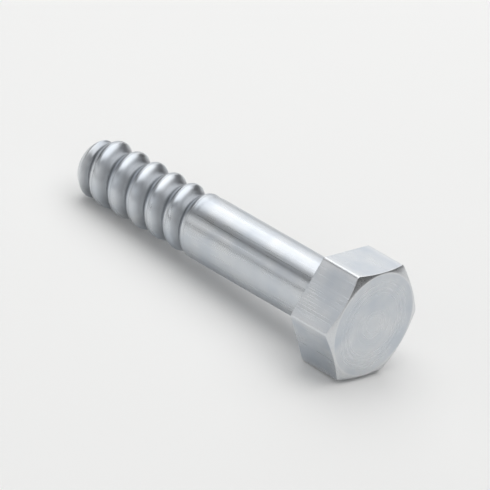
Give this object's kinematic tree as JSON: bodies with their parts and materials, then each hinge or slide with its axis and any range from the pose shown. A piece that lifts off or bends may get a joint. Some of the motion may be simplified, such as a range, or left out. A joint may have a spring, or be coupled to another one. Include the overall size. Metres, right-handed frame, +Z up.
{
  "type": "hex head bolt",
  "caption": "Hexagon head bolt with a plain round shank and a coarse right-hand thread at its end, for clamping parts through a hole.",
  "frame": {"origin": "middle of the bounding box, on the surface that the bolt lies on", "axes": "+X runs level along the bolt towards its head, +Z is up, and the bolt's own axis climbs 4.3 degrees towards the head"},
  "size_m": [0.059, 0.0196, 0.0175],
  "materials": {
    "zinc_plated_steel": "satin"
  },
  "bodies": {
    "root": {"bolt": "zinc_plated_steel"}
  },
  "joints": []
}
